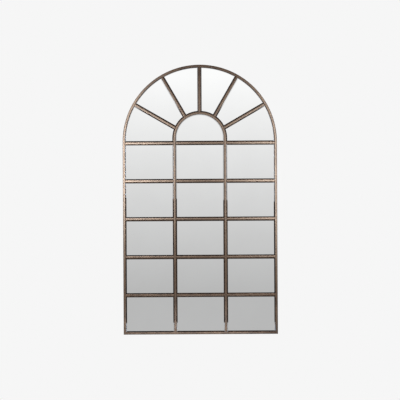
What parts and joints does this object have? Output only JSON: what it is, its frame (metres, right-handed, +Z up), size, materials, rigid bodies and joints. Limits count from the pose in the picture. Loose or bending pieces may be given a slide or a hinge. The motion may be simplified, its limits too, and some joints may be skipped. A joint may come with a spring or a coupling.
{
  "type": "arched floor mirror",
  "caption": "Tall arched floor mirror: a bronze-finished steel frame whose glazing bars and spokes hold bevelled mirror panes like a fanlight window.",
  "frame": {"origin": "on the floor, under the middle of the mirror's width and depth", "axes": "+Z up, the mirrors face -Y, +X to the right as seen from the front"},
  "size_m": [1.03, 0.035, 1.7999],
  "materials": {
    "aged_bronze": "aged bronze, satin",
    "mirror_glass": "silvered, bevelled edge",
    "backing_board": "brown fibreboard",
    "zinc_steel": "zinc plated",
    "pad_rubber": "matt black"
  },
  "bodies": {
    "mirror_frame": {"arch_bow": "aged_bronze", "left_stile": "aged_bronze", "right_stile": "aged_bronze", "bottom_rail": "aged_bronze", "left_mullion": "aged_bronze", "right_mullion": "aged_bronze", "inner_arch": "aged_bronze", "transom_1_left": "aged_bronze", "pane_1_left": "mirror_glass", "transom_1_middle": "aged_bronze", "pane_1_middle": "mirror_glass", "transom_1_right": "aged_bronze", "pane_1_right": "mirror_glass", "transom_2_left": "aged_bronze", "pane_2_left": "mirror_glass", "transom_2_middle": "aged_bronze", "pane_2_middle": "mirror_glass", "transom_2_right": "aged_bronze", "pane_2_right": "mirror_glass", "transom_3_left": "aged_bronze", "pane_3_left": "mirror_glass", "transom_3_middle": "aged_bronze", "pane_3_middle": "mirror_glass", "transom_3_right": "aged_bronze", "pane_3_right": "mirror_glass", "transom_4_left": "aged_bronze", "pane_4_left": "mirror_glass", "transom_4_middle": "aged_bronze", "pane_4_middle": "mirror_glass", "transom_4_right": "aged_bronze", "pane_4_right": "mirror_glass", "transom_5_left": "aged_bronze", "pane_5_left": "mirror_glass", "transom_5_middle": "aged_bronze", "pane_5_middle": "mirror_glass", "transom_5_right": "aged_bronze", "pane_5_right": "mirror_glass", "spoke_1": "aged_bronze", "spoke_2": "aged_bronze", "spoke_3": "aged_bronze", "spoke_4": "aged_bronze", "spoke_5": "aged_bronze", "fan_pane_1": "mirror_glass", "fan_pane_2": "mirror_glass", "fan_pane_3": "mirror_glass", "fan_pane_4": "mirror_glass", "fan_pane_5": "mirror_glass", "fan_pane_6": "mirror_glass", "half_round_pane": "mirror_glass", "backing_board": "backing_board", "retaining_tabs": "zinc_steel", "tab_screws": "zinc_steel", "hanger_screws": "zinc_steel", "left_hanger_strap": "zinc_steel", "right_hanger_strap": "zinc_steel", "wall_pads": "pad_rubber"},
    "left_ring": {"left_hanger_ring": "zinc_steel"},
    "right_ring": {"right_hanger_ring": "zinc_steel"}
  },
  "joints": [
    {"name": "left_ring_swing", "type": "hinge", "parent": "mirror_frame", "child": "left_ring", "pos_m": [-0.38, 0.00866, 1.2], "axis": [1, 0, 0], "range_deg": [0, 180]},
    {"name": "right_ring_swing", "type": "hinge", "parent": "mirror_frame", "child": "right_ring", "pos_m": [0.38, 0.00866, 1.2], "axis": [1, 0, 0], "range_deg": [0, 180]}
  ]
}
